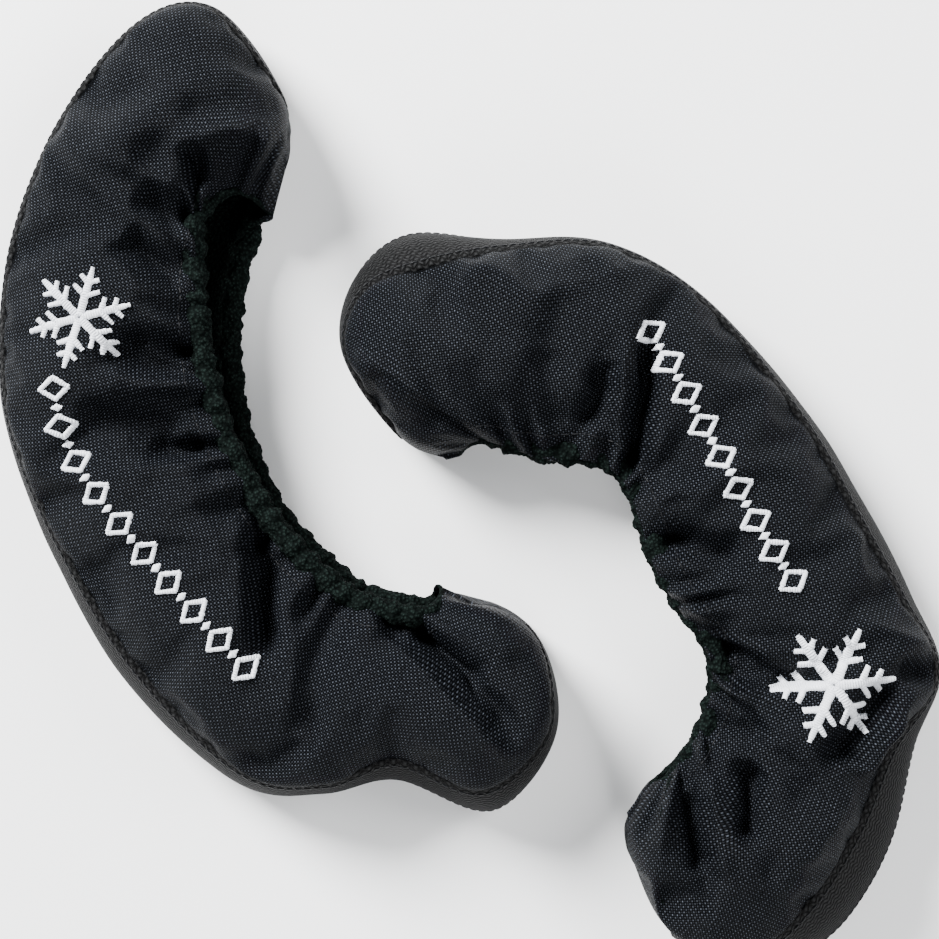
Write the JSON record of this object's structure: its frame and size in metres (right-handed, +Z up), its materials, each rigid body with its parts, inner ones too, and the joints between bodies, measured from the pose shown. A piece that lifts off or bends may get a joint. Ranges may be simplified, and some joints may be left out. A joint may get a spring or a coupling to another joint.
{
  "type": "soft skate blade guards",
  "caption": "Pair of crescent-shaped fabric sleeves that cover figure-skate blades, each with an elastic terry-cuffed mouth, a ribbed wear strip and an embroidered side.",
  "frame": {"origin": "middle of the pair, on the surface that they lie on", "axes": "+Z up, away from the surface; +Y along the pair's longest side; +X from guard_a's wear strip to guard_b's"},
  "size_m": [0.315, 0.324, 0.044],
  "materials": {
    "panel": "coarse plain-woven nylon, near black with a blue cast",
    "webbing": "ribbed zigzag-woven webbing, matte charcoal",
    "terry": "looped terry pile, green-black",
    "elastic": "covered elastic, matte",
    "embroidery": "white satin stitch with a soft sheen",
    "topstitch": "dark polyester sewing thread"
  },
  "bodies": {
    "guard_a_toe": {"guard_a_upper_panel_toe": "panel", "guard_a_lower_panel_toe": "panel", "guard_a_wear_strip_toe": "webbing", "guard_a_lining_toe": "terry", "guard_a_upper_cuff_toe": "terry", "guard_a_lower_cuff_toe": "terry", "guard_a_elastic_toe": "elastic", "guard_a_stitched_row_toe": "embroidery", "guard_a_strip_stitch_upper_toe": "topstitch", "guard_a_strip_stitch_lower_toe": "topstitch", "guard_a_hem_stitch_toe": "topstitch", "guard_a_emblem": "embroidery"},
    "guard_a_heel": {"guard_a_upper_panel_heel": "panel", "guard_a_lower_panel_heel": "panel", "guard_a_wear_strip_heel": "webbing", "guard_a_lining_heel": "terry", "guard_a_upper_cuff_heel": "terry", "guard_a_lower_cuff_heel": "terry", "guard_a_elastic_heel": "elastic", "guard_a_stitched_row_heel": "embroidery", "guard_a_strip_stitch_upper_heel": "topstitch", "guard_a_strip_stitch_lower_heel": "topstitch", "guard_a_hem_stitch_heel": "topstitch"},
    "guard_b_toe": {"guard_b_upper_panel_toe": "panel", "guard_b_lower_panel_toe": "panel", "guard_b_wear_strip_toe": "webbing", "guard_b_lining_toe": "terry", "guard_b_upper_cuff_toe": "terry", "guard_b_lower_cuff_toe": "terry", "guard_b_elastic_toe": "elastic", "guard_b_stitched_row_toe": "embroidery", "guard_b_strip_stitch_upper_toe": "topstitch", "guard_b_strip_stitch_lower_toe": "topstitch", "guard_b_hem_stitch_toe": "topstitch", "guard_b_emblem": "embroidery"},
    "guard_b_heel": {"guard_b_upper_panel_heel": "panel", "guard_b_lower_panel_heel": "panel", "guard_b_wear_strip_heel": "webbing", "guard_b_lining_heel": "terry", "guard_b_upper_cuff_heel": "terry", "guard_b_lower_cuff_heel": "terry", "guard_b_elastic_heel": "elastic", "guard_b_stitched_row_heel": "embroidery", "guard_b_strip_stitch_upper_heel": "topstitch", "guard_b_strip_stitch_lower_heel": "topstitch", "guard_b_hem_stitch_heel": "topstitch"}
  },
  "joints": [
    {"name": "guard_a_straighten", "type": "hinge", "parent": "guard_a_toe", "child": "guard_a_heel", "pos_m": [-0.15727, 0.01688, 0], "axis": [0, 0, -1], "range_deg": [0, 50], "stiffness_Nm_per_rad": 0.02},
    {"name": "guard_b_straighten", "type": "hinge", "parent": "guard_b_toe", "child": "guard_b_heel", "pos_m": [0.13725, -0.00774, 0], "axis": [0, 0, -1], "range_deg": [0, 50], "stiffness_Nm_per_rad": 0.02},
    {"name": "guard_b_lift", "type": "slide", "parent": "guard_a_toe", "child": "guard_b_toe", "axis": [0, 0, 1], "range_m": [0, 0.1]}
  ]
}
